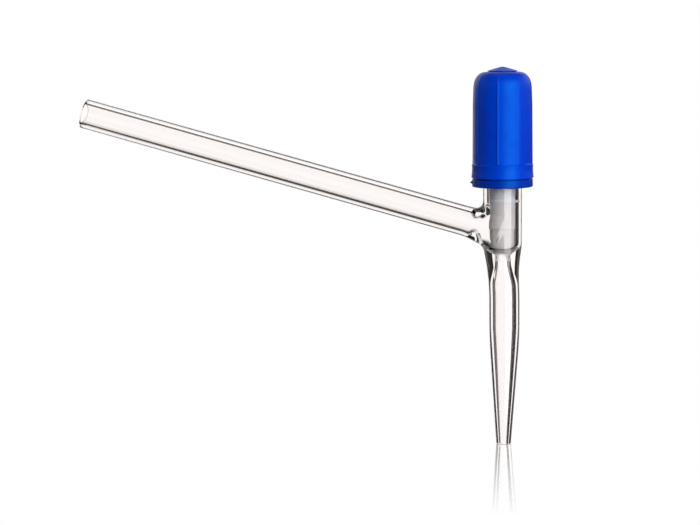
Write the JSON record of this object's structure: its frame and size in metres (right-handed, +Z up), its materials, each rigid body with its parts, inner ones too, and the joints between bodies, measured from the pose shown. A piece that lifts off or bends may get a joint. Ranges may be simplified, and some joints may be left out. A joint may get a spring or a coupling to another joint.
{
  "type": "burette stopcock",
  "caption": "Glass lateral stopcock for a burette: slanted side arm, upright barrel and tapered jet, closed by a PTFE needle spindle under a ribbed screw knob.",
  "frame": {"origin": "centre of the side arm's cut end, where the burette tube holds the part", "axes": "+X level, from the side arm's end to the valve; +Z up along the valve's axis, from the jet's tip to the knob; the side arm and the valve's axis lie in the XZ plane"},
  "size_m": [0.1555, 0.0208, 0.1269],
  "materials": {
    "borosilicate_glass": "clear polished",
    "ptfe": "translucent white, turned",
    "blue_polypropylene": "satin moulded",
    "seal_rubber": "matte",
    "stainless_steel": "turned"
  },
  "bodies": {
    "glass": {"glass_body": "borosilicate_glass"},
    "spindle": {"spindle": "ptfe", "lower_o_ring": "seal_rubber", "upper_o_ring": "seal_rubber", "thrust_washer": "ptfe", "stem_washer": "stainless_steel", "stem_screw": "stainless_steel"},
    "knob": {"knob": "blue_polypropylene", "stop_ring": "blue_polypropylene", "knob_plug": "blue_polypropylene"}
  },
  "joints": [
    {"name": "spindle_lift", "type": "slide", "parent": "glass", "child": "spindle", "axis": [0, 0, 1], "range_m": [0, 0.00625]},
    {"name": "knob_turn", "type": "hinge", "parent": "spindle", "child": "knob", "pos_m": [0.14391, 0, 0], "axis": [0, 0, 1], "range_deg": [0, 900]}
  ],
  "couplings": [
    {"joint": "spindle_lift", "follows": "knob_turn", "m_per_rad": 0.00039789}
  ]
}
